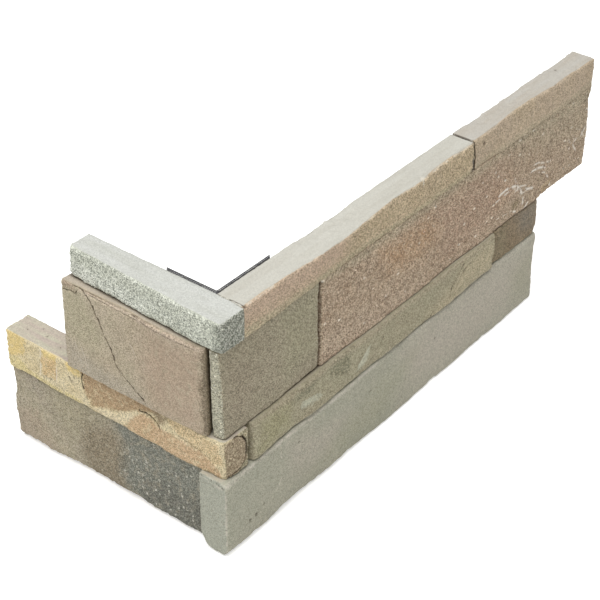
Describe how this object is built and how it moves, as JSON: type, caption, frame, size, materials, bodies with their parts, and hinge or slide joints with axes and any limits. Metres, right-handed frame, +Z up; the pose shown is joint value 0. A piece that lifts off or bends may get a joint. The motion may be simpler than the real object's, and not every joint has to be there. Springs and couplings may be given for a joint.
{
  "type": "stone cladding corner piece",
  "caption": "L-shaped cladding corner of riven sandstone strips in rows that interlock at the ends, tied behind by a mesh angle.",
  "frame": {"origin": "arris of the wall corner that the piece goes round, at the level of the piece's base", "axes": "+X along the long arm away from the corner, +Y along the short arm away from the corner, +Z up; the sawn backs lie in Y = 0 and X = 0"},
  "size_m": [0.3607, 0.1601, 0.1505],
  "materials": {
    "speckled_grey_sandstone": "riven, fine dark speckle, sawn pale beds",
    "tan_sandstone": "riven, smooth bedding plane with hairline cracks",
    "ochre_sandstone": "riven, banded golden and rust brown",
    "mottled_sandstone": "riven, blotched grey-green",
    "coping_sandstone": "riven face, pale sawn top",
    "olive_sandstone": "riven, fine grained",
    "pink_sandstone": "riven, grainy with pale scratches",
    "dark_sandstone": "riven, fine grained",
    "pale_sandstone": "smooth riven, worn arrises",
    "coated_mesh": "coated glass-fibre mesh, matt"
  },
  "bodies": {
    "root": {"short_row1_grey_strip": "speckled_grey_sandstone", "short_row2_cracked_slab": "tan_sandstone", "short_row3_ochre_strip": "ochre_sandstone", "short_row4_mottled_slab": "mottled_sandstone", "long_row1_near_coping": "coping_sandstone", "long_row1_far_coping": "coping_sandstone", "long_row2_corner_slab": "olive_sandstone", "long_row2_pink_slab": "pink_sandstone", "long_row3_olive_strip": "olive_sandstone", "long_row3_dark_block": "dark_sandstone", "long_row4_pale_slab": "pale_sandstone", "corner_mesh_angle": "coated_mesh"}
  },
  "joints": []
}
